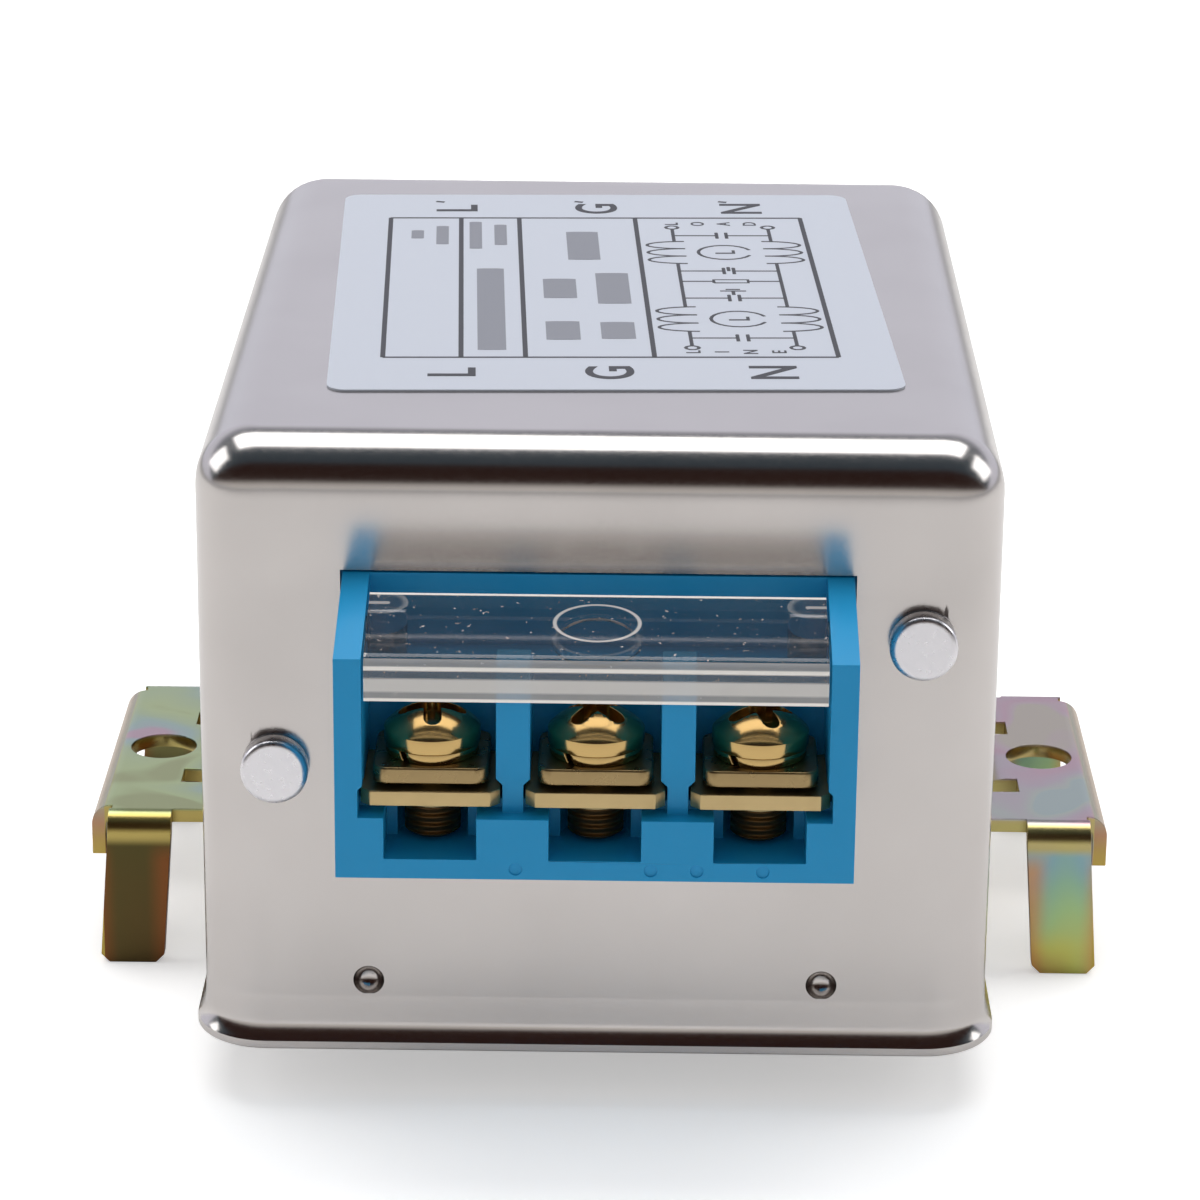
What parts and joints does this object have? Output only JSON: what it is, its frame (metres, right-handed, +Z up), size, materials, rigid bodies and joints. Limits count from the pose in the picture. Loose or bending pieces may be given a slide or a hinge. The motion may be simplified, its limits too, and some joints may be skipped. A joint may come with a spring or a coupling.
{
  "type": "emi line filter",
  "caption": "Chassis-mount line filter: drawn steel can with a screw terminal block and hinged clear cover at each end, on a bracket with ears and legs.",
  "frame": {"origin": "on the floor plane below the middle of the can, level with the feet", "axes": "+Z up through the label, -Y towards the front terminal block, +X to the right seen from the front"},
  "size_m": [0.0706, 0.0882, 0.0451],
  "materials": {
    "nickel_plated_steel": "satin nickel plating on deep-drawn steel",
    "yellow_zinc_steel": "yellow chromated zinc, iridescent",
    "rivet_steel": "bright plated steel",
    "label_film": "printed satin film",
    "blue_polymer": "moulded, semi-gloss",
    "brass": "bright stamped and turned brass",
    "clear_polycarbonate": "clear moulding",
    "insulating_sheet": "matt film",
    "board_laminate": "glass-epoxy laminate",
    "core_coating": "epoxy coating",
    "enamelled_copper": "enamelled copper wire",
    "capacitor_case": "moulded case",
    "disc_coating": "dipped epoxy coating",
    "resistor_body": "lacquered ceramic",
    "tinned_copper": "tinned wire"
  },
  "bodies": {
    "filter": {"can": "nickel_plated_steel", "base_plate": "nickel_plated_steel", "mounting_bracket": "yellow_zinc_steel", "bracket_rivets": "rivet_steel", "label": "label_film", "front_terminal_block": "blue_polymer", "rear_terminal_block": "blue_polymer", "front_block_rivets": "rivet_steel", "rear_block_rivets": "rivet_steel", "front_line_plate": "brass", "front_ground_plate": "brass", "front_neutral_plate": "brass", "rear_line_plate": "brass", "rear_ground_plate": "brass", "rear_neutral_plate": "brass", "front_clamp_washers": "brass", "rear_clamp_washers": "brass", "front_spring_washers": "brass", "rear_spring_washers": "brass", "front_terminal_screws": "brass", "rear_terminal_screws": "brass", "insulating_sheet": "insulating_sheet", "board_standoffs": "brass", "circuit_board": "board_laminate", "board_screws": "brass", "front_choke_core": "core_coating", "rear_choke_core": "core_coating", "front_choke_divider": "board_laminate", "rear_choke_divider": "board_laminate", "front_line_winding": "enamelled_copper", "front_neutral_winding": "enamelled_copper", "rear_line_winding": "enamelled_copper", "rear_neutral_winding": "enamelled_copper", "front_box_capacitor": "capacitor_case", "rear_box_capacitor": "capacitor_case", "disc_capacitor_1": "disc_coating", "disc_capacitor_2": "disc_coating", "disc_capacitor_3": "disc_coating", "disc_capacitor_4": "disc_coating", "bleed_resistor": "resistor_body", "front_lead_wires": "tinned_copper", "rear_lead_wires": "tinned_copper"},
    "front_lid": {"front_cover": "clear_polycarbonate"},
    "rear_lid": {"rear_cover": "clear_polycarbonate"}
  },
  "joints": [
    {"name": "front_cover_hinge", "type": "hinge", "parent": "filter", "child": "front_lid", "pos_m": [0, -0.03845, 0.0342], "axis": [-1, 0, 0], "range_deg": [0, 100]},
    {"name": "rear_cover_hinge", "type": "hinge", "parent": "filter", "child": "rear_lid", "pos_m": [0, 0.03845, 0.0342], "axis": [1, 0, 0], "range_deg": [0, 100]}
  ]
}
